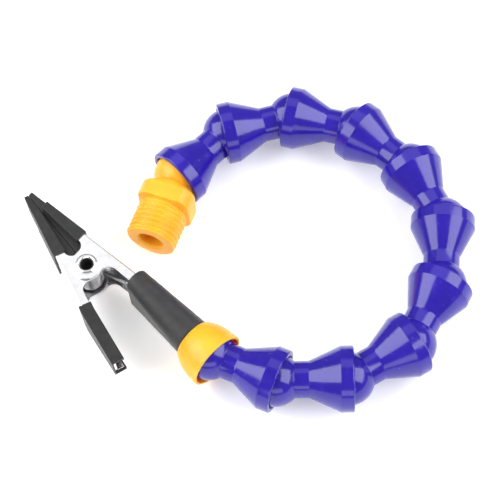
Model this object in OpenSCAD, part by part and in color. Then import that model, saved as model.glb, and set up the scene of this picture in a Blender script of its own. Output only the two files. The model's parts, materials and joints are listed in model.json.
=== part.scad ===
// Flexible helping-hands arm: a threaded fitting, ten ball-and-socket hose links, a flat nozzle and a
// sprung crocodile clamp. The arm lies curled into a ring, with the axis of every link in the XY plane.
// Origin: centre of the fitting's open end. +Y runs along the fitting into the arm, and +Z is up.

/* [Hose link] */
// Distance from a link's socket centre to its ball centre
pitch = 17.5; // [17:0.1:18]
// Radius of the ball
ball_r = 6.5; // [6.3:0.05:6.6]
// Running clearance between a ball and its socket
ball_gap = 0.05; // [0.02:0.01:0.1]
// Outer radius of the rim at the socket
rim_r = 8.05; // [7.9:0.05:8.4]
// Outer radius of the neck behind the ball
neck_r = 4.5; // [4.1:0.1:4.6]
// Radius of the bore through the hose
bore_r = 3.2; // [2.8:0.05:3.3]

/* [Pose of the arm] */
// Bend at each of the eleven ball joints, from the fitting to the nozzle, in degrees
bends = [-25, -31, -29, -26, -24, -30, -23, -32, -30, -24, -21];

/* [Threaded fitting] */
// Distance from the open end to the ball centre
fitting_len = 20.2; // [20.2:0.1:24]
// Major radius of the 1/4 inch pipe thread
thread_r = 6.58; // [6.5:0.01:6.6]
// Length of the threaded end
thread_len = 9.6; // [8:0.1:9.8]
// Distance across the wrench flats
flats_w = 13.8; // [13:0.1:14]

/* [Nozzle and sleeve] */
// Distance from the nozzle's socket centre to its mouth
nozzle_len = 25.5; // [24:0.5:26]
// Outer radius of the lip round the nozzle's collar
collar_r = 7.6; // [7.4:0.05:8]
// Wall of the shrink sleeve
sleeve_wall = 0.55; // [0.4:0.05:0.7]

/* [Clamp] */
// Outer width of the fixed lever's channel
lever_w = 11; // [10.8:0.1:11.2]
// Thickness of the stamped metal
metal_t = 0.6; // [0.5:0.05:0.7]
// Distance from the pivot to the outer face of a lever's back
pivot_depth = 6; // [5.9:0.05:6.2]
// Distance along a lever from the pivot to the jaw's tip
jaw_len = 25.2; // [24:0.1:26]
// Distance along a lever from the pivot to the handle's end
handle_len = 26; // [24:0.5:27]
// Height of the channel's side flanges
flange_h = 2.4; // [2.2:0.1:2.6]
// Thickness of the black boots
boot_t = 0.45; // [0.4:0.05:0.5]

/* [Hidden] */
round_fn = 96;      // facets of round faces
e = 0.01;           // overlap that joins or clears cuts

// ball and socket
lip_s = 1.2;        // the socket's lip stands this far behind the ball centre
rim_s = 1.45;       // the rim's face stands this far behind the ball centre
rim_band = 3.2;     // length of the rim's cylindrical band
rim_round = 0.5;    // radius of the rim's outer edge
cone_end = 9.4;     // distance from the socket centre to the end of the cone
ball_front = 3.6;   // the ball is cut flat this far in front of its centre
mouth_r = 4.3;      // radius of the bore's flare at the ball's flat
socket_r = ball_r + ball_gap;
lip_r = sqrt(socket_r * socket_r - lip_s * lip_s);

// fitting
thread_lead = 0.5;  // chamfer at the open end
block_end = 15.3;   // the wrench block ends here
block_r = 8.2;      // the block's corners are turned to this radius
shoulder = [1.2, 2.2]; // length and depth of the block's turned front shoulder
entry = [0.4, 0.4]; // length and depth of the chamfer where the bore opens

// nozzle
collar_face = 2.9;  // the collar's face stands this far behind the ball centre
collar_mouth = 6.8; // radius of the socket's flare at the collar's face
collar_lip = 1.2;   // length of the lip round the collar
bell_r = 7.5;       // radius of the collar's bell beside its lip
bell_drop = 2;      // how much narrower the bell is at its front
bell_power = 2.4;   // how late the bell curves in
collar_end = 5.6;   // the collar's front face
tube_r = 4.45;      // radius of the nozzle's round tube in front of the collar
slot_h = 2.8;       // height of the slot
slot_w = 11.6;      // width of the slot at the mouth
slot_wall = 1.1;    // wall of the nozzle round the slot
slot_depth = 15;    // depth of the slot
bore_end = nozzle_len - slot_depth + 1;
sleeve_lip = 0.4;   // the sleeve stands this far past the mouth

// clamp, in its own frame: the pivot is at the origin and the jaws point along +X
pivot_x = nozzle_len + 11.6;
pivot_y = 5.8;      // the pivot stands this far to the side of the nozzle's axis
clamp_turn = -6.8;  // angle of the clamp's centre line to the nozzle's axis
lever_tilt = 11.5;  // angle between a lever's back and the clamp's centre line
handle_bend = lever_tilt + clamp_turn;  // the handle's rear turns in, parallel to the nozzle
bend_u = -12;       // where the handle turns in
rear_len = handle_len + bend_u;
handle_taper = 2;   // the handle is this much narrower on each side over the slot's depth
jaw_step = 19.3;    // the wide part of a jaw ends here
jaw_flange_h = 1.15; // the jaw's flanges get lower, to this height at the step
tip_half = 3.5;     // half width of the metal tip inside its boot
ear_r = 4;          // radius of an ear round the pivot
ear_fillet = 2.2;   // radius where an ear meets its flange
web_hole_r = 1.6;   // radius of the holes in a lever's back
web_holes = [4.2, -6.4];
side_gap = 0.1;     // gap between the two levers' ears
boot_gap = 0.05;    // half the gap between the closed boots
boot_start = 6.2;   // a jaw's boot starts here
free_boot_grow = 0.8; // how far the free jaw's boot stands out past its channel's sides
pad_start = 4.3;    // the pad between a boot's sides starts here
handle_boot_start = -9.6;
handle_window = 3;  // length of handle that shows inside its boot
handle_boot_wall = 0.6; // wall of the handle's boot at its sides
free_w = lever_w - 2 * (metal_t + side_gap);
eyelet_r = 2;       // outer radius of the eyelet's tube
eyelet_bore = 1.6;  // radius of the hole through the eyelet
eyelet_head_r = 2.7;
eyelet_head_t = 0.45;
wire_r = 0.45;      // radius of the spring's wire
wire_sides = 8;
coil_r = 3;         // mean radius of the spring's coil
coil_count = 6;     // whole turns that the coil starts
coil_half = 2.9;    // half the coil's length, at the wire's centre
leg_len = 9.5;      // length of a spring's leg

// direction of link i, and the centre of ball joint i: link 11 is the nozzle
function heading(i) = i == 0 ? 90 : heading(i - 1) + bends[i - 1];
function along(a, d) = [d * cos(a), d * sin(a), 0];
function joint(i) = i == 1 ? [0, fitting_len, 0] : joint(i - 1) + along(heading(i - 1), pitch);

// places children with the socket centre of link i at their origin and the link along their +X
module on_link(i) translate(joint(i)) rotate([0, 0, heading(i)]) children();
module on_clamp() on_link(11) translate([pivot_x, pivot_y, 0]) rotate([0, 0, clamp_turn]) children();

// lays a shape that is built up the Z axis along +X
module lay() rotate([0, 90, 0]) children();

// turns an outline of [distance along the axis, radius] points round the Z axis
module turned(points) rotate_extrude($fn = round_fn) polygon([for (p = points) [p[1], p[0]]]);

// outer outline of a rim whose face is at x: the face and a rounded edge up to radius r
function rim_outline(x, r) = concat([[x, 0], [x, r - rim_round]],
    [for (a = [22.5:22.5:90]) [x + rim_round * (1 - cos(a)), r - rim_round * (1 - sin(a))]]);

// outline of the hollow through a socket: its mouth, of radius r at the face at x, and the bore's start
function socket_mouth(x, r) = [[x - e, 0], [x - e, r], [-lip_s + 0.3, lip_r - 0.3], [0, bore_r]];

// outline of the hollow through a ball at x: the bore opens out, and a disc cuts the ball flat
function ball_mouth(x) = [[x + ball_front - 2, bore_r], [x + ball_front, mouth_r],
    [x + ball_front, ball_r + 1], [x + ball_r + 1, ball_r + 1], [x + ball_r + 1, 0]];

module ball(x) translate([0, 0, x]) sphere(r = ball_r, $fn = round_fn);
module socket() sphere(r = socket_r, $fn = round_fn);

module link(i) color([0.20, 0.14, 0.63]) on_link(i) lay() difference() {
    union() {
        turned(concat(rim_outline(-rim_s, rim_r),
            [[rim_band - rim_s, rim_r], [cone_end, neck_r], [pitch, neck_r], [pitch, 0]]));
        ball(pitch);
    }
    socket();
    turned(concat(socket_mouth(-rim_s, lip_r + rim_s - lip_s), ball_mouth(pitch)));
}

module threaded_fitting() color([1, 0.76, 0.16]) rotate([0, 0, 90]) lay() difference() {
    union() {
        turned([[0, 0], [0, thread_r - thread_lead], [thread_lead, thread_r], [thread_len, thread_r],
            [thread_len, neck_r], [fitting_len, neck_r], [fitting_len, 0]]);
        intersection() {
            translate([-flats_w / 2, -flats_w / 2, thread_len - 0.5])
                cube([flats_w, flats_w, block_end - thread_len + 1]);
            turned([[thread_len, 0], [thread_len, block_r], [block_end - shoulder[0], block_r],
                [block_end, block_r - shoulder[1]], [block_end, 0]]);
        }
        ball(fitting_len);
    }
    turned(concat([[-e, 0], [-e, bore_r + entry[1] + e], [entry[0], bore_r]],
        ball_mouth(fitting_len)));
}

// flat oval of the given height and width, upright in the YZ plane and 0.1 thick along X
module oval_plate(h, w) rotate([0, 90, 0]) linear_extrude(0.1) hull()
    for (s = [-1, 1]) translate([s * (w - h) / 2, 0]) circle(d = h, $fn = 32);

// outer shape of the nozzle's barrel, grown by g, from the round tube at the collar to the flat mouth
module barrel(g, x0, x1) hull() {
    translate([x0, 0, 0]) rotate([0, 90, 0]) cylinder(r = tube_r + g, h = 0.1, $fn = 48);
    translate([x1 - 0.1, 0, 0])
        oval_plate(slot_h + 2 * slot_wall + 2 * g, slot_w + 2 * slot_wall + 2 * g);
}

// flat slot that the handle sits in, narrowing from the mouth inwards
module slot_hollow() translate([0, slot_h / 2, 0]) rotate([90, 0, 0]) linear_extrude(slot_h)
    polygon([for (s = [-1, 1]) each [for (k = s > 0 ? [0, 1] : [1, 0])
        [nozzle_len + e - k * slot_depth, s * (slot_w / 2 - k * handle_taper)]]]);

module nozzle() color([1, 0.76, 0.16]) on_link(11) difference() {
    bell_from = collar_lip - collar_face;
    union() {
        lay() turned(concat(rim_outline(-collar_face, collar_r), [[bell_from, collar_r]],
            [for (t = [0:0.1:1]) [bell_from + t * (collar_end - bell_from),
                bell_r - bell_drop * pow(t, bell_power)]], [[collar_end, 0]]));
        barrel(0, collar_end - 0.1, nozzle_len);
    }
    lay() socket();
    lay() turned(concat(socket_mouth(-collar_face, collar_mouth),
        [[bore_end, bore_r], [bore_end, 0]]));
    slot_hollow();
}

module shrink_sleeve() color([0.2, 0.2, 0.21]) on_link(11) difference() {
    barrel(sleeve_wall, collar_end, nozzle_len + sleeve_lip);
    barrel(0, collar_end - 0.1, nozzle_len);
    translate([nozzle_len - 0.5, -slot_h / 2 - 0.2, -slot_w / 2 - 0.2])
        cube([2, slot_h + 0.4, slot_w + 0.4]);
}

// a lever's frame: u runs along its back from the pivot's foot towards the tip, and v points inwards
module lever_frame(mirrored) mirror([0, mirrored ? 1 : 0, 0]) rotate([0, 0, lever_tilt])
    translate([0, -pivot_depth, 0]) children();

// point of a lever's side view that stands h above its back: at the handle's bend, and x along the
// rear of the handle
function at_bend(h) = [bend_u + h * tan(handle_bend / 2), h];
function on_rear(x, h) = [bend_u + x * cos(handle_bend) + h * sin(handle_bend),
    h * cos(handle_bend) - x * sin(handle_bend)];

// side view of a channel from u back to the handle's end, between heights h0 and h1, with x more behind
function channel_side(u, h0, h1, x) = [[u, h0], at_bend(h0), on_rear(-rear_len - x, h0),
    on_rear(-rear_len - x, h1), at_bend(h1), [u, h1]];

// side view of a lever's channel and its flat tip
module channel_outline() polygon(concat([[jaw_len, metal_t], [jaw_len, 0]],
    channel_side(boot_start, 0, flange_h, 0), [[jaw_step, jaw_flange_h], [jaw_step, metal_t]]));

// side view of the ear round the pivot, with a fillet at each side of its foot
module ear_outline() {
    translate([-ear_r, metal_t]) square([2 * ear_r, pivot_depth - metal_t]);
    translate([0, pivot_depth]) circle(r = ear_r, $fn = round_fn);
    difference() {
        translate([-ear_r - ear_fillet, metal_t])
            square([2 * (ear_r + ear_fillet), flange_h + ear_fillet - metal_t]);
        for (s = [-1, 1]) translate([s * (ear_r + ear_fillet), flange_h + ear_fillet])
            circle(r = ear_fillet, $fn = 48);
    }
}

// a side view given width: w at the channel, narrowing along the handle's rear, and tip at the tip
module widened(w, tip) {
    far_u = -handle_len - 2;
    far_half = w / 2 + handle_taper * (far_u - bend_u) / slot_depth;
    intersection() {
        translate([0, 0, -w]) linear_extrude(2 * w) children();
        translate([0, 2 * pivot_depth, 0]) rotate([90, 0, 0]) linear_extrude(3 * pivot_depth)
            polygon([for (s = [-1, 1]) each let (half = [[far_u, far_half], [bend_u, w / 2],
                [jaw_step, w / 2], [jaw_step, tip / 2], [jaw_len + 2, tip / 2]])
                [for (k = s > 0 ? [4:-1:0] : [0:4]) [half[k][0], s * half[k][1]]]]);
    }
}

module lever(w) difference() {
    union() {
        widened(w, 2 * tip_half) channel_outline();
        translate([0, 0, -w / 2]) linear_extrude(w) ear_outline();
    }
    widened(w - 2 * metal_t, w - 2 * metal_t) polygon([on_rear(-rear_len - 1, metal_t),
        at_bend(metal_t), [jaw_step + 1, metal_t], [jaw_step + 1, 2 * pivot_depth],
        [-handle_len - 2, 2 * pivot_depth]]);
    translate([0, pivot_depth, -w]) cylinder(r = eyelet_r + 0.05, h = 2 * w, $fn = round_fn);
    for (u = web_holes) translate([u, -e, 0]) rotate([-90, 0, 0])
        cylinder(r = web_hole_r, h = metal_t + 2 * e, $fn = 48);
}

module fixed_lever() color([0.86, 0.87, 0.89]) on_clamp() lever_frame(false) lever(lever_w);
module free_lever() color([0.86, 0.87, 0.89]) on_clamp() lever_frame(true) lever(free_w);

module pivot_eyelet() color([0.86, 0.87, 0.89]) on_clamp() difference() {
    union() {
        cylinder(r = eyelet_r, h = lever_w, center = true, $fn = round_fn);
        for (s = [-1, 1]) translate([0, 0, s * (lever_w + eyelet_head_t) / 2])
            cylinder(r = eyelet_head_r, h = eyelet_head_t, center = true, $fn = round_fn);
    }
    cylinder(r = eyelet_bore, h = 2 * lever_w, center = true, $fn = round_fn);
}

// the spring's wire: a leg, the coil and the other leg, swept with a ring of corners at each point
leg_splay = asin((pivot_depth - metal_t - wire_r - boot_gap - coil_r) / leg_len);
leg_turn = lever_tilt + leg_splay;
coil_sweep = 360 * coil_count - 180 - 2 * leg_turn;
coil_steps = ceil(coil_sweep / 18);
function coil_point(k) = let (a = 270 + leg_turn + coil_sweep * k / coil_steps)
    [coil_r * cos(a), coil_r * sin(a), coil_half * (2 * k / coil_steps - 1)];
function leg_point(s, d) = coil_point(s > 0 ? coil_steps : 0)
    + d * [-cos(leg_turn), s * sin(leg_turn), 0];
spring_path = concat([leg_point(-1, leg_len), leg_point(-1, 0.5)],
    [for (k = [0:coil_steps]) coil_point(k)], [leg_point(1, 0.5), leg_point(1, leg_len)]);
function unit(v) = v / norm(v);
function path_dir(p, i) = unit(p[min(i + 1, len(p) - 1)] - p[max(i - 1, 0)]);
function ring(p, i) = let (side = unit(cross(path_dir(p, i), [0, 0, 1])),
    up = cross(side, path_dir(p, i)))
    [for (k = [0:wire_sides - 1]) p[i] + wire_r * (cos(360 * k / wire_sides) * side
        + sin(360 * k / wire_sides) * up)];

module torsion_spring() color([0.7, 0.71, 0.73]) on_clamp() {
    rings = len(spring_path);
    n = wire_sides;
    polyhedron([for (i = [0:rings - 1]) each ring(spring_path, i)],
        concat([[for (k = [0:n - 1]) k], [for (k = [n - 1:-1:0]) (rings - 1) * n + k]],
            [for (i = [0:rings - 2], k = [0:n - 1]) each [
                [i * n + k, (i + 1) * n + k, i * n + (k + 1) % n],
                [(i + 1) * n + k, (i + 1) * n + (k + 1) % n, i * n + (k + 1) % n]]]));
}

// height of the clamp's centre line above a lever's back, at u
function middle(u) = pivot_depth - u * tan(lever_tilt);

// a jaw's boot: a skin over the channel, and a narrower pad between the channel's sides that closes on
// the clamp's centre line and ends in the tip
module jaw_boot(w, grow) difference() {
    step_u = jaw_step + boot_t;
    end_u = jaw_len + boot_t;
    pad_half = tip_half + boot_t;
    union() {
        difference() {
            translate([0, 0, -w / 2 - grow]) linear_extrude(w + 2 * grow)
                polygon([[boot_start, -boot_t], [step_u, -boot_t], [step_u, jaw_flange_h + boot_t],
                    [boot_start, flange_h + boot_t]]);
            translate([0, 0, -w / 2]) linear_extrude(w) polygon([[boot_start - 1, 0], [jaw_step, 0],
                [jaw_step, jaw_flange_h], [boot_start, flange_h], [boot_start - 1, flange_h]]);
            translate([0, metal_t, metal_t - w / 2]) cube([jaw_step, flange_h, w - 2 * metal_t]);
        }
        difference() {
            translate([0, 0, -pad_half]) linear_extrude(2 * pad_half)
                polygon([[step_u - 1, -boot_t], [end_u, -boot_t], [end_u, middle(end_u) - boot_gap],
                    [pad_start, middle(pad_start) - boot_gap], [pad_start, e], [step_u - 1, e]]);
            translate([0, 0, -w / 2]) cube([jaw_step, metal_t, w]);
        }
    }
    translate([jaw_step - 1, 0, -tip_half]) cube([jaw_len - jaw_step + 1, metal_t, 2 * tip_half]);
}

module fixed_jaw_boot() color([0.2, 0.2, 0.21]) on_clamp() lever_frame(false)
    jaw_boot(lever_w, boot_t);
module free_jaw_boot() color([0.2, 0.2, 0.21]) on_clamp() lever_frame(true)
    jaw_boot(free_w, free_boot_grow);

// the free handle's boot: a sleeve over the channel, cut back at the rear on its inner side
module free_handle_boot() color([0.2, 0.2, 0.21]) on_clamp() lever_frame(true) difference() {
    outer_w = free_w + 2 * handle_boot_wall;
    inner_w = free_w - 2 * metal_t;
    widened(outer_w, outer_w)
        polygon(channel_side(handle_boot_start, -boot_t, flange_h + boot_t, 0.5));
    widened(free_w, free_w) polygon(channel_side(handle_boot_start + 1, 0, flange_h, 1));
    widened(inner_w, inner_w) polygon([for (p = [[handle_window, metal_t], [-1, metal_t],
        [-1, pivot_depth], [handle_window, pivot_depth]]) on_rear(p[0] - rear_len, p[1])]);
}

threaded_fitting();
link(1);  // link_01
link(2);  // link_02
link(3);  // link_03
link(4);  // link_04
link(5);  // link_05
link(6);  // link_06
link(7);  // link_07
link(8);  // link_08
link(9);  // link_09
link(10);  // link_10
nozzle();
shrink_sleeve();
fixed_lever();
free_lever();
pivot_eyelet();
torsion_spring();
fixed_jaw_boot();
free_jaw_boot();
free_handle_boot();
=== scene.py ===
"""Looks of the helping hands clamp.

It is a ball-jointed hose arm with a threaded fitting and a sprung clamp. Outlines are in
millimetres along a piece's axis; every mesh is written in metres in the CAD's frame.
"""
import json
import math

import bmesh
import bpy
from mathutils import Matrix, Vector


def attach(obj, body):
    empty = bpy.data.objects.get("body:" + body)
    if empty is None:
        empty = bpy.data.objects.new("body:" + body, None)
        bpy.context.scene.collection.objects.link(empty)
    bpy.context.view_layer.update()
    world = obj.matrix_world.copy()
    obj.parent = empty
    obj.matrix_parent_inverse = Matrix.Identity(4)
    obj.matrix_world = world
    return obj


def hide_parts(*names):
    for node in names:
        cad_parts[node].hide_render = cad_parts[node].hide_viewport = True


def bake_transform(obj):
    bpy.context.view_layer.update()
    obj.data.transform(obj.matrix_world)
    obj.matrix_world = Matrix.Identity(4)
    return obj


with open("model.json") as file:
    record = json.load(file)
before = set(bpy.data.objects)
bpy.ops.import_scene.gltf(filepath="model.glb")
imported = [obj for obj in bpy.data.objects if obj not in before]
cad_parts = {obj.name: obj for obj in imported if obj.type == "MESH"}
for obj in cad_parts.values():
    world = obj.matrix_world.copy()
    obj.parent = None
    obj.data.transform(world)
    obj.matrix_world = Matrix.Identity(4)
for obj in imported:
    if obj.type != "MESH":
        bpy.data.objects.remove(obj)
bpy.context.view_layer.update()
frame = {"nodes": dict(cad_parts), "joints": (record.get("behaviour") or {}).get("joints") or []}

MM = 0.001
PITCH = 17.5            # from a link's socket centre to its ball centre
BALL_R = 6.5
SOCKET_R = 6.55
NECK_R = 4.5
RIM_R = 8.05
BORE_R = 3.2
BALL_FLAT = 3.6         # the ball is cut flat this far in front of its centre
LINK_FACE = -1.45       # the rim's face, from the socket's centre
RIM_END = 1.75          # the rim's band ends here and the cone begins
CONE_END = 9.4
MOUTH_R = 6.95          # a socket's mouth in its face
FRONT_MOUTH_R = 4.3     # the bore's flared mouth in a ball's flat front
FITTING_LEN = 20.2
THREAD_R = 6.58
THREAD_PITCH = 1.337    # 19 threads to the inch
THREAD_LEN = 9.6
THREAD_DEPTH = 0.42
BLOCK_R = 8.2
BLOCK_END = 15.3
FLAT_HALF = 6.9         # half the distance across the wrench flats
NOZZLE_LEN = 25.5
COLLAR_FACE = -2.9
COLLAR_R = 7.6
COLLAR_END = 5.6
TUBE_R = 4.45
PIVOT = (37.1, 5.8)     # the jaw's pivot, along the nozzle and to its side
CLAMP_TURN = -6.8       # angle of the clamp's centre line to the nozzle
LEVER_TILT = 11.5       # angle of a lever's back to the clamp's centre line
LEVER_HEIGHT = 6.0      # from the pivot to the outside of a lever's back
SHEET = 0.6             # thickness of a lever's sheet
EYELET_HOLE_R = 1.55
HOLE_SHADE_R = (1.62, 1.72)  # the painted shade in the eyelet's hole fades out between these
FLOOR_Z = -8.05

nodes = frame["nodes"]
joint_at = {j["name"]: Vector(j["pos_m"]) for j in frame["joints"]}
balls = [joint_at[f"ball_{i:02d}_bend"] for i in range(1, 12)]
pivot = joint_at["jaw_pivot"]


# ---- places ----------------------------------------------------------------------------------

def place(origin, heading):
    """Frame of a piece that lies along a heading, in radians, from an origin in metres."""
    return Matrix.Translation(origin) @ Matrix.Rotation(heading, 4, "Z") @ Matrix.Scale(MM, 4)


def heading_to(a, b):
    return math.atan2(b.y - a.y, b.x - a.x)


nozzle_heading = heading_to(balls[10], pivot) - math.atan2(PIVOT[1], PIVOT[0])
clamp_heading = nozzle_heading + math.radians(CLAMP_TURN)
AT_FITTING = place(Vector((0, 0, 0)), math.pi / 2)
AT_NOZZLE = place(balls[10], nozzle_heading)
AT_CLAMP = place(pivot, clamp_heading)


# ---- materials -------------------------------------------------------------------------------

class Nodes:
    """A material's node tree, with short calls for the few nodes used here."""

    def __init__(self, name):
        self.material = bpy.data.materials.new(name)
        self.material.use_nodes = True
        self.tree = self.material.node_tree
        self.shader = self.tree.nodes["Principled BSDF"]
        self.place = self.add("ShaderNodeTexCoord").outputs["Object"]

    def add(self, kind, **inputs):
        node = self.tree.nodes.new(kind)
        for key, value in inputs.items():
            self.feed(node.inputs[key.replace("_", " ")], value)
        return node

    def feed(self, socket, value):
        if isinstance(value, bpy.types.NodeSocket):
            self.tree.links.new(value, socket)
        else:
            socket.default_value = value

    def noise(self, size, detail=3.0, stretch=(1, 1, 1), turn=(0, 0, 0)):
        """Noise with features of about that size in millimetres, stretched along an axis."""
        mapping = self.add("ShaderNodeMapping", Vector=self.place, Scale=stretch, Rotation=turn)
        return self.add("ShaderNodeTexNoise", Vector=mapping.outputs[0], Scale=1 / (size * MM),
                        Detail=detail).outputs["Fac"]

    def spread(self, value, low, high, start=0.3, end=0.7):
        node = self.add("ShaderNodeMapRange", Value=value)
        for key, v in zip(("From Min", "From Max", "To Min", "To Max"), (start, end, low, high)):
            node.inputs[key].default_value = v
        return node.outputs[0]

    def blend(self, factor, a, b):
        node = self.add("ShaderNodeMix")
        node.data_type = "RGBA"
        self.feed(node.inputs[0], factor)
        self.feed(node.inputs[6], a if isinstance(a, bpy.types.NodeSocket) else (*a, 1))
        self.feed(node.inputs[7], b if isinstance(b, bpy.types.NodeSocket) else (*b, 1))
        return node.outputs[2]

    def bump(self, *layers):
        """Layers of (height, depth in mm) laid over each other."""
        normal = None
        for height, depth in layers:
            node = self.add("ShaderNodeBump", Height=height, Distance=depth * MM, Strength=1.0)
            if normal:
                self.tree.links.new(normal, node.inputs["Normal"])
            normal = node.outputs[0]
        self.tree.links.new(normal, self.shader.inputs["Normal"])

    def set(self, **inputs):
        for key, value in inputs.items():
            self.feed(self.shader.inputs[key.replace("_", " ")], value)
        return self.material


def hose_plastic():
    """Glossy ultramarine plastic: soft flow marks, a fine orange peel and a few rubbed patches."""
    n = Nodes("hose_blue")
    flow = n.spread(n.noise(6.0, 2.0), 0, 1)
    rubbed = n.spread(n.noise(1.1, 4.0), 0, 1, 0.55, 0.75)
    scratches = n.noise(0.35, 4.0, (1, 1, 9), (0.3, 0.5, 0.2))
    colour = n.blend(flow, (0.016, 0.006, 0.26), (0.022, 0.009, 0.32))
    n.bump((n.noise(2.6, 1.0), 0.010), (n.noise(0.16, 2.0), 0.0012), (scratches, 0.0010))
    return n.set(Base_Color=n.blend(n.spread(rubbed, 0, 0.35, 0, 1), colour, (0.030, 0.017, 0.36)),
                 Roughness=n.spread(rubbed, 0.16, 0.30, 0, 1), Coat_Weight=0.2, Coat_Roughness=0.06,
                 IOR=1.46)


def fitting_plastic():
    """Satin yellow-orange plastic, which lets a little light in."""
    n = Nodes("fitting_orange")
    flow = n.spread(n.noise(5.0, 2.0), 0, 1)
    grain = n.noise(0.22, 3.0)
    colour = n.blend(flow, (0.95, 0.40, 0.014), (1.0, 0.48, 0.024))
    n.bump((n.noise(3.0, 1.0), 0.012), (grain, 0.004))
    return n.set(Base_Color=colour, Roughness=n.spread(grain, 0.30, 0.44), Subsurface_Weight=0.6,
                 Subsurface_Radius=(1.0, 0.35, 0.05), Subsurface_Scale=2.2 * MM, IOR=1.48)


def shrink_tube():
    """Matte black shrink tube, with faint ripples and a dusty bloom."""
    n = Nodes("shrink_black")
    bloom = n.spread(n.noise(2.2, 5.0), 0, 1)
    grain = n.noise(0.18, 4.0)
    n.bump((n.noise(2.4, 2.0, (1, 1, 2.2)), 0.05), (grain, 0.010))
    return n.set(Base_Color=n.blend(bloom, (0.013, 0.013, 0.014), (0.022, 0.022, 0.024)),
                 Roughness=n.spread(grain, 0.48, 0.62), Sheen_Weight=0.15, Sheen_Roughness=0.5)


def boot_vinyl():
    """Soft dipped vinyl: matte, finely grained, with rubbed lighter patches."""
    n = Nodes("boot_black")
    rubbed = n.spread(n.noise(1.6, 5.0), 0, 1, 0.42, 0.7)
    grain = n.noise(0.13, 4.0)
    n.bump((n.noise(1.4, 2.0), 0.03), (grain, 0.009))
    return n.set(Base_Color=n.blend(rubbed, (0.007, 0.007, 0.008), (0.015, 0.015, 0.016)),
                 Roughness=n.spread(grain, 0.42, 0.60), Sheen_Weight=0.12, Sheen_Roughness=0.4)


def nickel(eyelet=False):
    """Bright nickel plate on stamped steel: fine rolling lines and faint stains.

    The eyelet's also has painted shade in its hole: dark, matte and not metallic.
    """
    n = Nodes("nickel_eyelet" if eyelet else "nickel_plate")
    lines = n.noise(0.2, 4.0, (0.12, 1.6, 1.6), (0, 0, -clamp_heading))
    stain = n.spread(n.noise(2.8, 4.0), 0, 1, 0.4, 0.75)
    n.bump((n.noise(3.5, 1.0), 0.012), (lines, 0.0005))
    plate = n.blend(stain, (0.90, 0.90, 0.91), (0.80, 0.80, 0.82))
    if not eyelet:
        return n.set(Base_Color=plate, Metallic=1.0, Roughness=n.spread(lines, 0.18, 0.26))
    flat = n.add("ShaderNodeVectorMath", Vector=n.place)
    flat.operation = "MULTIPLY"
    flat.inputs[1].default_value = (1, 1, 0)
    off_axis = n.tree.nodes.new("ShaderNodeVectorMath")
    off_axis.operation = "DISTANCE"
    n.feed(off_axis.inputs[0], flat.outputs[0])
    off_axis.inputs[1].default_value = (pivot.x, pivot.y, 0)
    # painted shade: inside the eyelet's hole the plate turns dark, matte and not metallic, standing
    # in for the shadow in the bore
    hole_shade = n.spread(off_axis.outputs["Value"], 1, 0, HOLE_SHADE_R[0] * MM, HOLE_SHADE_R[1] * MM)
    return n.set(Base_Color=n.blend(hole_shade, plate, (0.02, 0.02, 0.02)),
                 Metallic=n.spread(hole_shade, 1, 0, 0, 1),
                 Roughness=n.spread(hole_shade, 0.2, 0.7, 0, 1))


def spring_steel():
    """Drawn spring wire: darker than the plate, with fine draw marks."""
    n = Nodes("spring_wire")
    marks = n.noise(0.12, 4.0)
    n.bump((marks, 0.002))
    colour = n.blend(n.spread(n.noise(0.9), 0, 1), (0.40, 0.40, 0.42), (0.52, 0.52, 0.53))
    return n.set(Base_Color=colour, Metallic=1.0, Roughness=n.spread(marks, 0.20, 0.34))


MATERIALS = {"hose_blue": hose_plastic(), "fitting_orange": fitting_plastic(),
             "shrink_black": shrink_tube(), "boot_black": boot_vinyl(),
             "nickel_plate": nickel(), "spring_wire": spring_steel()}


# ---- meshes ----------------------------------------------------------------------------------

def as_object(name, verts, faces):
    mesh = bpy.data.meshes.new(name)
    mesh.from_pydata([tuple(v) for v in verts], [], faces)
    obj = bpy.data.objects.new(name, mesh)
    bpy.context.scene.collection.objects.link(obj)
    return obj


def tidy_normals(obj):
    """Faces point outwards and shade smoothly, with flat faces kept flat."""
    bm = bmesh.new()
    bm.from_mesh(obj.data)
    bmesh.ops.recalc_face_normals(bm, faces=bm.faces)
    bm.to_mesh(obj.data)
    bm.free()
    obj.data.shade_smooth()
    weighted = obj.modifiers.new("flat faces", "WEIGHTED_NORMAL")
    weighted.keep_sharp = True


def hand_in(obj, slot, body, *replaced):
    obj.data.materials.clear()
    obj.data.materials.append(MATERIALS[slot])
    if body:
        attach(obj, body)
    if replaced:
        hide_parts(*replaced)
    return obj


def rounded(corners, steps=4):
    """Closed outline through corners of (along, radius, fillet), rounded by their fillets."""
    outline = []
    for k, (s, r, fillet) in enumerate(corners):
        corner = Vector((s, r))
        if not fillet:
            outline.append((s, r))
            continue
        sides = [Vector(corners[k - 1][:2]) - corner,
                 Vector(corners[(k + 1) % len(corners)][:2]) - corner]
        half = sides[0].angle(sides[1]) / 2
        cut = min(fillet / math.tan(half), *(0.45 * side.length for side in sides))
        start, end = (corner + cut * side.normalized() for side in sides)
        for step in range(steps + 1):
            t = step / steps
            outline.append(tuple((1 - t) ** 2 * start + 2 * t * (1 - t) * corner
                                 + t * t * end))
    return outline


def arc(centre, radius, first, last, count):
    """Unrounded corners along an arc about a point on the axis; angles in degrees."""
    angles = (math.radians(first + (last - first) * k / count) for k in range(count + 1))
    return [(centre + radius * math.cos(a), radius * math.sin(a), 0) for a in angles]


def lathe(name, outline, at, segments=96, shape=None):
    """Turns a closed outline round the X axis; shape(along, radius, angle) may change a radius."""
    rows = len(outline)
    verts = []
    for s, r in outline:
        for k in range(segments):
            angle = 2 * math.pi * k / segments
            radius = shape(s, r, angle) if shape else r
            verts.append(at @ Vector((s, radius * math.cos(angle), radius * math.sin(angle))))
    faces = []
    for i in range(rows):
        j = (i + 1) % rows
        for k in range(segments):
            m = (k + 1) % segments
            faces.append((i * segments + k, j * segments + k,
                          j * segments + m, i * segments + m))
    obj = as_object(name, verts, faces)
    tidy_normals(obj)
    return obj


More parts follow.
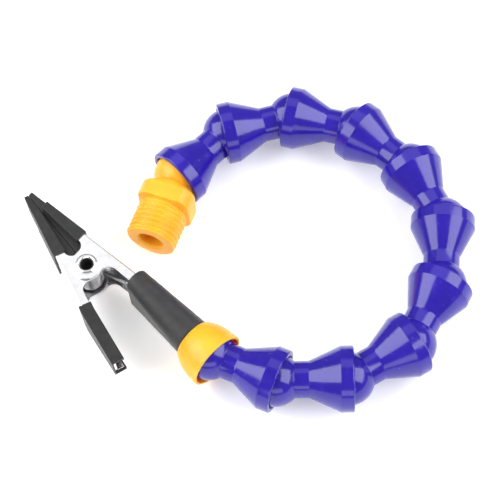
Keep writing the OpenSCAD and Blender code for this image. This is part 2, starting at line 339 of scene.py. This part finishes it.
def loft(name, rings, at, closed=False):
    """Skins rings of equal length; open lofts get a flat cap at each end."""
    count = len(rings[0])
    verts = [at @ Vector(p) for ring in rings for p in ring]
    faces = []
    last = len(rings) if closed else len(rings) - 1
    for i in range(last):
        j = (i + 1) % len(rings)
        for k in range(count):
            m = (k + 1) % count
            faces.append((i * count + k, j * count + k, j * count + m, i * count + m))
    if not closed:
        faces.append(tuple(range(count)))
        faces.append(tuple(range((len(rings) - 1) * count, len(rings) * count)))
    obj = as_object(name, verts, faces)
    tidy_normals(obj)
    return obj


# ---- the hose --------------------------------------------------------------------------------

def ball_front(x):
    """Corners of a ball's flat front, whose mouth flares out of the bore."""
    edge = math.sqrt(BALL_R ** 2 - BALL_FLAT ** 2)
    face = x + BALL_FLAT
    return [(face, edge, 0.2), (face, FRONT_MOUTH_R, 0.15), (face - 2, BORE_R, 0.3)]


def ball_corners(x):
    """Corners from a neck over the ball at x to its bore."""
    neck_angle = 180 - math.degrees(math.asin(NECK_R / BALL_R))
    flat_angle = math.degrees(math.acos(BALL_FLAT / BALL_R))
    return arc(x, BALL_R, neck_angle, flat_angle + 1.5, 26) + ball_front(x)


def socket_corners(face_s, mouth_r):
    """Corners from the bore over the socket to its mouth in the rim's face."""
    bore_angle = math.degrees(math.asin(BORE_R / SOCKET_R))
    lip_angle = 95.5
    return arc(0, SOCKET_R, bore_angle, lip_angle, 20) + [(face_s, mouth_r, 0.12)]


link_outline = rounded(
    [(LINK_FACE, RIM_R, 0.5), (RIM_END, RIM_R, 0.1), (CONE_END, NECK_R, 1.2)]
    + ball_corners(PITCH) + socket_corners(LINK_FACE, MOUTH_R))

for i in range(1, 11):
    at = place(balls[i - 1], heading_to(balls[i - 1], balls[i]))
    link = lathe(f"link_{i:02d}_moulding", link_outline, at)
    hand_in(link, "hose_blue", f"hose_link_{i:02d}", f"link_{i:02d}")


# ---- the threaded fitting --------------------------------------------------------------------

def smooth_min(a, b, k):
    h = max(0.0, min(1.0, 0.5 + 0.5 * (b - a) / k))
    return b * (1 - h) + a * h - k * h * (1 - h)


RELIEF_FROM = THREAD_LEN - 0.9     # the thread runs out into a relief here
RELIEF_R = THREAD_R - THREAD_DEPTH


def fitting_shape(s, r, angle):
    """Cuts the thread into the end and the wrench flats into the block."""
    if r < RELIEF_R - 0.02 or s > BLOCK_END + 0.01:
        return r
    if s < THREAD_LEN - 0.01:
        turn = (s / THREAD_PITCH - angle / (2 * math.pi)) % 1
        ridge = 1 - abs(2 * turn - 1)
        ridge = ridge * ridge * (3 - 2 * ridge)
        start = min(1.0, max(0.0, s / 0.7))
        run_out = min(1.0, max(0.0, (s - RELIEF_FROM) / 0.5))
        crest = RELIEF_R + (r - RELIEF_R) * (0.35 + 0.65 * start)
        return max(BORE_R, RELIEF_R + (crest - RELIEF_R) * ridge * (1 - run_out))
    square = FLAT_HALF / max(abs(math.cos(angle)), abs(math.sin(angle)))
    edge = smooth_min(BLOCK_R, square, 0.5)
    return RELIEF_R + (r - RELIEF_R) * (edge - RELIEF_R) / (BLOCK_R - RELIEF_R)


ROW_STEP = 0.06         # between the rows of points that carry the thread
CHAMFER_R = 5.6         # the threaded end's face, outside its chamfer
FLARE_R = 3.7           # the bore's flared mouth in that face
thread_rows = [(0.12 + ROW_STEP * k, THREAD_R, 0)
               for k in range(int((THREAD_LEN - 0.2) / ROW_STEP))]
block = rounded([(THREAD_LEN, RELIEF_R, 0), (THREAD_LEN, BLOCK_R, 0.45),
                 (BLOCK_END - 1.5, BLOCK_R, 0.7), (BLOCK_END, 6.2, 0.5),
                 (BLOCK_END, NECK_R + 0.2, 0)], 6)
fitting_corners = ([(0, CHAMFER_R, 0)] + thread_rows + [(s, r, 0) for s, r in block]
                   + ball_corners(FITTING_LEN) + [(0.5, BORE_R, 0.2), (0, FLARE_R, 0.1)])
fitting = lathe("fitting_moulding", rounded(fitting_corners), AT_FITTING, 144, fitting_shape)
hand_in(fitting, "fitting_orange", "fitting", "threaded_fitting")


# ---- the nozzle and its sleeve ---------------------------------------------------------------

BELL_FROM, BELL_R, BELL_DROP, BELL_POWER = -1.7, 7.5, 2.0, 2.4
bell = [(BELL_FROM + t * (COLLAR_END - 0.15 - BELL_FROM), BELL_R - BELL_DROP * t ** BELL_POWER, 0)
        for t in (k / 24 for k in range(1, 25))]
front_angle = math.degrees(math.acos(COLLAR_END / SOCKET_R))
collar_outline = rounded(
    [(COLLAR_FACE, COLLAR_R, 0.3), (BELL_FROM, COLLAR_R, 0.1), (BELL_FROM, BELL_R, 0.04)] + bell
    + [(COLLAR_END, 5.3, 0.1), (COLLAR_END, 3.5, 0.05)]
    + arc(0, SOCKET_R, front_angle + 1, 97, 20) + [(COLLAR_FACE, MOUTH_R, 0.12)])
collar = lathe("nozzle_collar", collar_outline, AT_NOZZLE)
hand_in(collar, "fitting_orange", "clamp_base", "nozzle")

OVAL_POINTS = 32


def oval(s, height, width, wave=0.0):
    """Ring round a stadium of that height across Y and width up Z, at s along the nozzle.

    A wave above 0 ripples it by up to that much.
    """
    ring = []
    for side in (1, -1):
        for k in range(OVAL_POINTS):
            a = math.pi * k / (OVAL_POINTS - 1) + (0 if side > 0 else math.pi)
            rise = side * (width - height) / 2
            radius = height / 2 + wave * math.sin(3 * a + 1.7 * s) * math.sin(0.9 * s + 2 * a)
            ring.append((s, radius * math.cos(a), rise + radius * math.sin(a)))
    return ring


MOUTH = (5.0, 13.8)     # height and width of the nozzle's flat mouth
SLOT = (2.8, 11.6)
SLOT_DEPTH = 15


def barrel_size(s, grow):
    """Height and width of the barrel at s: a round tube that flattens towards the mouth."""
    t = (s - COLLAR_END) / (NOZZLE_LEN - COLLAR_END)
    return [2 * TUBE_R + t * (size - 2 * TUBE_R) + 2 * grow for size in MOUTH]


def barrel_rings(start, end, grow, count, wave=0.0):
    steps = (start + (end - start) * k / count for k in range(count + 1))
    return [oval(s, *barrel_size(s, grow), wave) for s in steps]


barrel = loft("nozzle_barrel", barrel_rings(COLLAR_END - 0.3, NOZZLE_LEN - 0.15, 0, 16)
              + [oval(NOZZLE_LEN, MOUTH[0] - 0.3, MOUTH[1] - 0.3),
                 oval(NOZZLE_LEN, SLOT[0] + 0.2, SLOT[1] + 0.2),
                 oval(NOZZLE_LEN - 0.15, *SLOT),
                 oval(NOZZLE_LEN - SLOT_DEPTH, SLOT[0], SLOT[1] - 4)],
              AT_NOZZLE)
hand_in(barrel, "fitting_orange", "clamp_base", "nozzle")

WALL = 0.55
RIPPLE = 0.035
LIP_ROUND = 0.7         # radius of the sleeve's rounded front lip
sleeve_front = NOZZLE_LEN + 0.4
lip_start = sleeve_front - LIP_ROUND
sleeve_rings = ([oval(COLLAR_END + 0.03, *barrel_size(COLLAR_END, WALL - 0.25))]
                + barrel_rings(COLLAR_END + 0.18, lip_start, WALL, 40, RIPPLE))
for turn in (20, 40, 60, 80):
    back = LIP_ROUND * (1 - math.sin(math.radians(turn)))
    inward = LIP_ROUND * (1 - math.cos(math.radians(turn)))
    sleeve_rings.append(oval(sleeve_front - back, *barrel_size(lip_start, WALL - inward)))
sleeve_rings += [oval(sleeve_front, SLOT[0] + 0.7, SLOT[1] + 0.7),
                 oval(sleeve_front - 0.15, SLOT[0] + 0.4, SLOT[1] + 0.4),
                 oval(NOZZLE_LEN + 0.01, SLOT[0] + 0.4, SLOT[1] + 0.4),
                 oval(NOZZLE_LEN + 0.01, MOUTH[0] + 0.02, MOUTH[1] + 0.02)]
sleeve_rings += barrel_rings(NOZZLE_LEN - 0.5, COLLAR_END + 0.03, 0.02, 12)
sleeve = loft("sleeve_shell", sleeve_rings, AT_NOZZLE, closed=True)
hand_in(sleeve, "shrink_black", "clamp_base", "shrink_sleeve")


# ---- the clamp -------------------------------------------------------------------------------

def bevelled(node, name, width, segments=3, bend=None):
    """A CAD node's shape with rounded edges.

    bend is a test of an edge's two ends and the wider radius for the edges that pass it.
    """
    source = nodes[node].data
    obj = as_object(name, [v.co for v in source.vertices],
                    [tuple(p.vertices) for p in source.polygons])
    bm = bmesh.new()
    bm.from_mesh(obj.data)
    bmesh.ops.remove_doubles(bm, verts=bm.verts, dist=2e-6)
    bmesh.ops.dissolve_limit(bm, angle_limit=math.radians(0.6), verts=bm.verts, edges=bm.edges)
    bmesh.ops.recalc_face_normals(bm, faces=bm.faces)
    if bend:
        weight = bm.edges.layers.float.new("bevel_weight_edge")
        for edge in bm.edges:
            if len(edge.link_faces) == 2 and edge.calc_face_angle() > 0.7 and edge.is_convex:
                if bend[0](*(at_lever(node, v.co) for v in edge.verts)):
                    edge[weight] = 1.0
    bm.to_mesh(obj.data)
    bm.free()
    if bend:
        wide = obj.modifiers.new("bend", "BEVEL")
        wide.limit_method, wide.width, wide.segments = "WEIGHT", bend[1] * MM, 5
        wide.use_clamp_overlap = True
    small = obj.modifiers.new("edges", "BEVEL")
    small.limit_method, small.angle_limit = "ANGLE", math.radians(32)
    small.width, small.segments, small.use_clamp_overlap = width * MM, segments, True
    obj.data.shade_smooth()
    weighted = obj.modifiers.new("flat faces", "WEIGHTED_NORMAL")
    weighted.keep_sharp = True
    return obj


TO_CLAMP = AT_CLAMP.inverted()


def at_lever(node, point):
    """A point in a lever's own frame: along its back, above its back and across it, in mm."""
    p = TO_CLAMP @ point
    y = -p.y if node.startswith("free") else p.y
    tilt = math.radians(LEVER_TILT)
    return (p.x * math.cos(tilt) + y * math.sin(tilt),
            -p.x * math.sin(tilt) + y * math.cos(tilt) + LEVER_HEIGHT, p.z)


def long_back_edge(a, b):
    """True for the two long outer edges where a lever's back bends into its flanges."""
    at_the_side = min(abs(a[2]), abs(b[2])) > 2.6
    runs_along = abs(abs(a[2]) - abs(b[2])) < 2.2 and abs(a[0] - b[0]) > 3
    on_the_back = max(a[1], b[1]) < 2.6 and min(a[1], b[1]) < 0.3
    return at_the_side and runs_along and on_the_back


for node, body in (("fixed_lever", "clamp_base"), ("free_lever", "moving_jaw")):
    lever = bevelled(node, f"{node}_stamping", 0.07, 2, (long_back_edge, 0.5))
    hand_in(lever, "nickel_plate", body, node)

for node, body in (("fixed_jaw_boot", "clamp_base"), ("free_jaw_boot", "moving_jaw"),
                   ("free_handle_boot", "moving_jaw")):
    boot = bevelled(node, f"{node}_vinyl", 0.14, 3)
    hand_in(boot, "boot_black", body, node)

EAR_FACE, HEAD_FACE = 5.5, 5.95     # the eyelet's rolled head stands between these
head = [(EAR_FACE, 2.0, 0.04), (EAR_FACE, 2.7, 0.1), (5.72, 2.7, 0.12), (HEAD_FACE, 2.3, 0.2),
        (HEAD_FACE, 1.95, 0.2), (5.45, EYELET_HOLE_R, 0.3)]
eyelet_outline = rounded(head + [(-s, r, f) for s, r, f in reversed(head)])
eyelet = lathe("eyelet_rolled", eyelet_outline,
               AT_CLAMP @ Matrix.Rotation(-math.pi / 2, 4, "Y"), 64)
hand_in(eyelet, "nickel_plate", "clamp_base", "pivot_eyelet")
eyelet.data.materials[0] = nickel(eyelet=True)

WIRE_R = 0.45
COIL_R = 3.0            # to the middle of the wire
COIL_HALF = 2.9         # half the coil's length
COIL_TURNS = 5.5
COIL_STEPS = 220
LEG = 9.5
LEG_GAP = 0.05          # between a leg's end and the inside of its lever's back
leg_turn = (math.radians(LEVER_TILT)
            + math.asin((LEVER_HEIGHT - SHEET - WIRE_R - LEG_GAP - COIL_R) / LEG))
sweep = 2 * math.pi * COIL_TURNS - 2 * leg_turn


def coil_point(t):
    a = math.radians(270) + leg_turn + sweep * t
    return Vector((COIL_R * math.cos(a), COIL_R * math.sin(a), COIL_HALF * (2 * t - 1)))


def spring_wire():
    """A round wire along a leg, the coil and the other leg, with rounded ends."""
    legs = [[coil_point(t) + d * Vector((-math.cos(leg_turn), s * math.sin(leg_turn), 0))
             for d in (LEG, 9.42, 9.2, 7, 5, 3, 1.2, 0.5)] for t, s in ((0, -1), (1, 1))]
    coil = [coil_point(k / COIL_STEPS) for k in range(COIL_STEPS + 1)]
    path = legs[0] + coil + legs[1][::-1]
    wire_end = [0.25, 0.4]
    radii = wire_end + [WIRE_R] * (len(path) - 4) + wire_end[::-1]
    rings = []
    for k, p in enumerate(path):
        ahead = (path[min(k + 1, len(path) - 1)] - path[max(k - 1, 0)]).normalized()
        side = ahead.cross(Vector((0, 0, 1))).normalized()
        up = side.cross(ahead)
        rings.append([p + radii[k] * (math.cos(a) * side + math.sin(a) * up)
                      for a in (math.pi * m / 8 for m in range(16))])
    return loft("spring_wire_coil", rings, AT_CLAMP)


spring = hand_in(spring_wire(), "spring_wire", None, "torsion_spring")
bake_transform(spring)


# ---- floor, light and camera -----------------------------------------------------------------

FLOOR_HALF = 1.6        # the floor, lights and camera are in metres
ARM_MIDDLE = Vector((0.024, 0.006, 0))
LIGHT_DISTANCE = 0.9
BACKGROUND_LIGHT = 0.3


def floor():
    corners = ((-1, -1), (1, -1), (1, 1), (-1, 1))
    obj = as_object("floor", [(x * FLOOR_HALF, y * FLOOR_HALF, FLOOR_Z * MM) for x, y in corners],
                    [(0, 1, 2, 3)])
    n = Nodes("floor_paper")
    n.bump((n.noise(0.8, 3.0), 0.004))
    tint = n.blend(n.spread(n.noise(40.0), 0, 1), (0.86, 0.86, 0.865), (0.88, 0.88, 0.88))
    obj.data.materials.append(n.set(
        Base_Color=tint, Roughness=0.6, Specular_IOR_Level=0.2,
        Emission_Color=(1, 1, 1, 1), Emission_Strength=BACKGROUND_LIGHT))


def softbox(name, azimuth, elevation, size, power):
    """An area light aimed at the arm; azimuth is from +X, in degrees."""
    data = bpy.data.lights.new(name, "AREA")
    data.shape, data.size, data.size_y, data.energy = "RECTANGLE", size[0], size[1], power
    lamp = bpy.data.objects.new(name, data)
    a, e = math.radians(azimuth), math.radians(elevation)
    way = Vector((math.cos(a) * math.cos(e), math.sin(a) * math.cos(e), math.sin(e)))
    lamp.location = ARM_MIDDLE + LIGHT_DISTANCE * way
    lamp.rotation_euler = (lamp.location - ARM_MIDDLE).to_track_quat("Z", "Y").to_euler()
    bpy.context.scene.collection.objects.link(lamp)


floor()
CAMERA_AZIMUTH = -71.2      # the camera stands this way round from the arm
softbox("box_left", CAMERA_AZIMUTH - 90, 42, (0.9, 0.7), 9)
softbox("box_right", CAMERA_AZIMUTH + 90, 42, (0.9, 0.7), 9)
softbox("box_back", CAMERA_AZIMUTH + 180, 58, (0.9, 0.5), 1.2)
softbox("box_front", CAMERA_AZIMUTH, 18, (1.0, 0.3), 2)

world = bpy.data.worlds.new("studio")
world.use_nodes = True
background = world.node_tree.nodes["Background"]
background.inputs["Color"].default_value = (1, 1, 1, 1)
background.inputs["Strength"].default_value = BACKGROUND_LIGHT
bpy.context.scene.world = world

CAMERA_AT = Vector((0.0968, -0.1448, 0.3338))
AIM_AT = Vector((0.0247, 0.0059, 0))
LEVEL_HEADING = math.radians(18.8)      # the picture's horizontal, from +X
LEVEL = Vector((math.cos(LEVEL_HEADING), math.sin(LEVEL_HEADING), 0))
camera_data = bpy.data.cameras.new("camera")
camera_data.lens, camera_data.sensor_width = 107.1, 36      # mm
camera_data.clip_start, camera_data.clip_end = 0.01, 10
camera = bpy.data.objects.new("camera", camera_data)
back = (CAMERA_AT - AIM_AT).normalized()
right = (LEVEL - LEVEL.dot(back) * back).normalized()
turned = Matrix((right, back.cross(right), back)).transposed().to_4x4()
camera.matrix_world = Matrix.Translation(CAMERA_AT) @ turned
bpy.context.scene.collection.objects.link(camera)
bpy.context.scene.camera = camera
bpy.context.scene.view_settings.view_transform = "Standard"
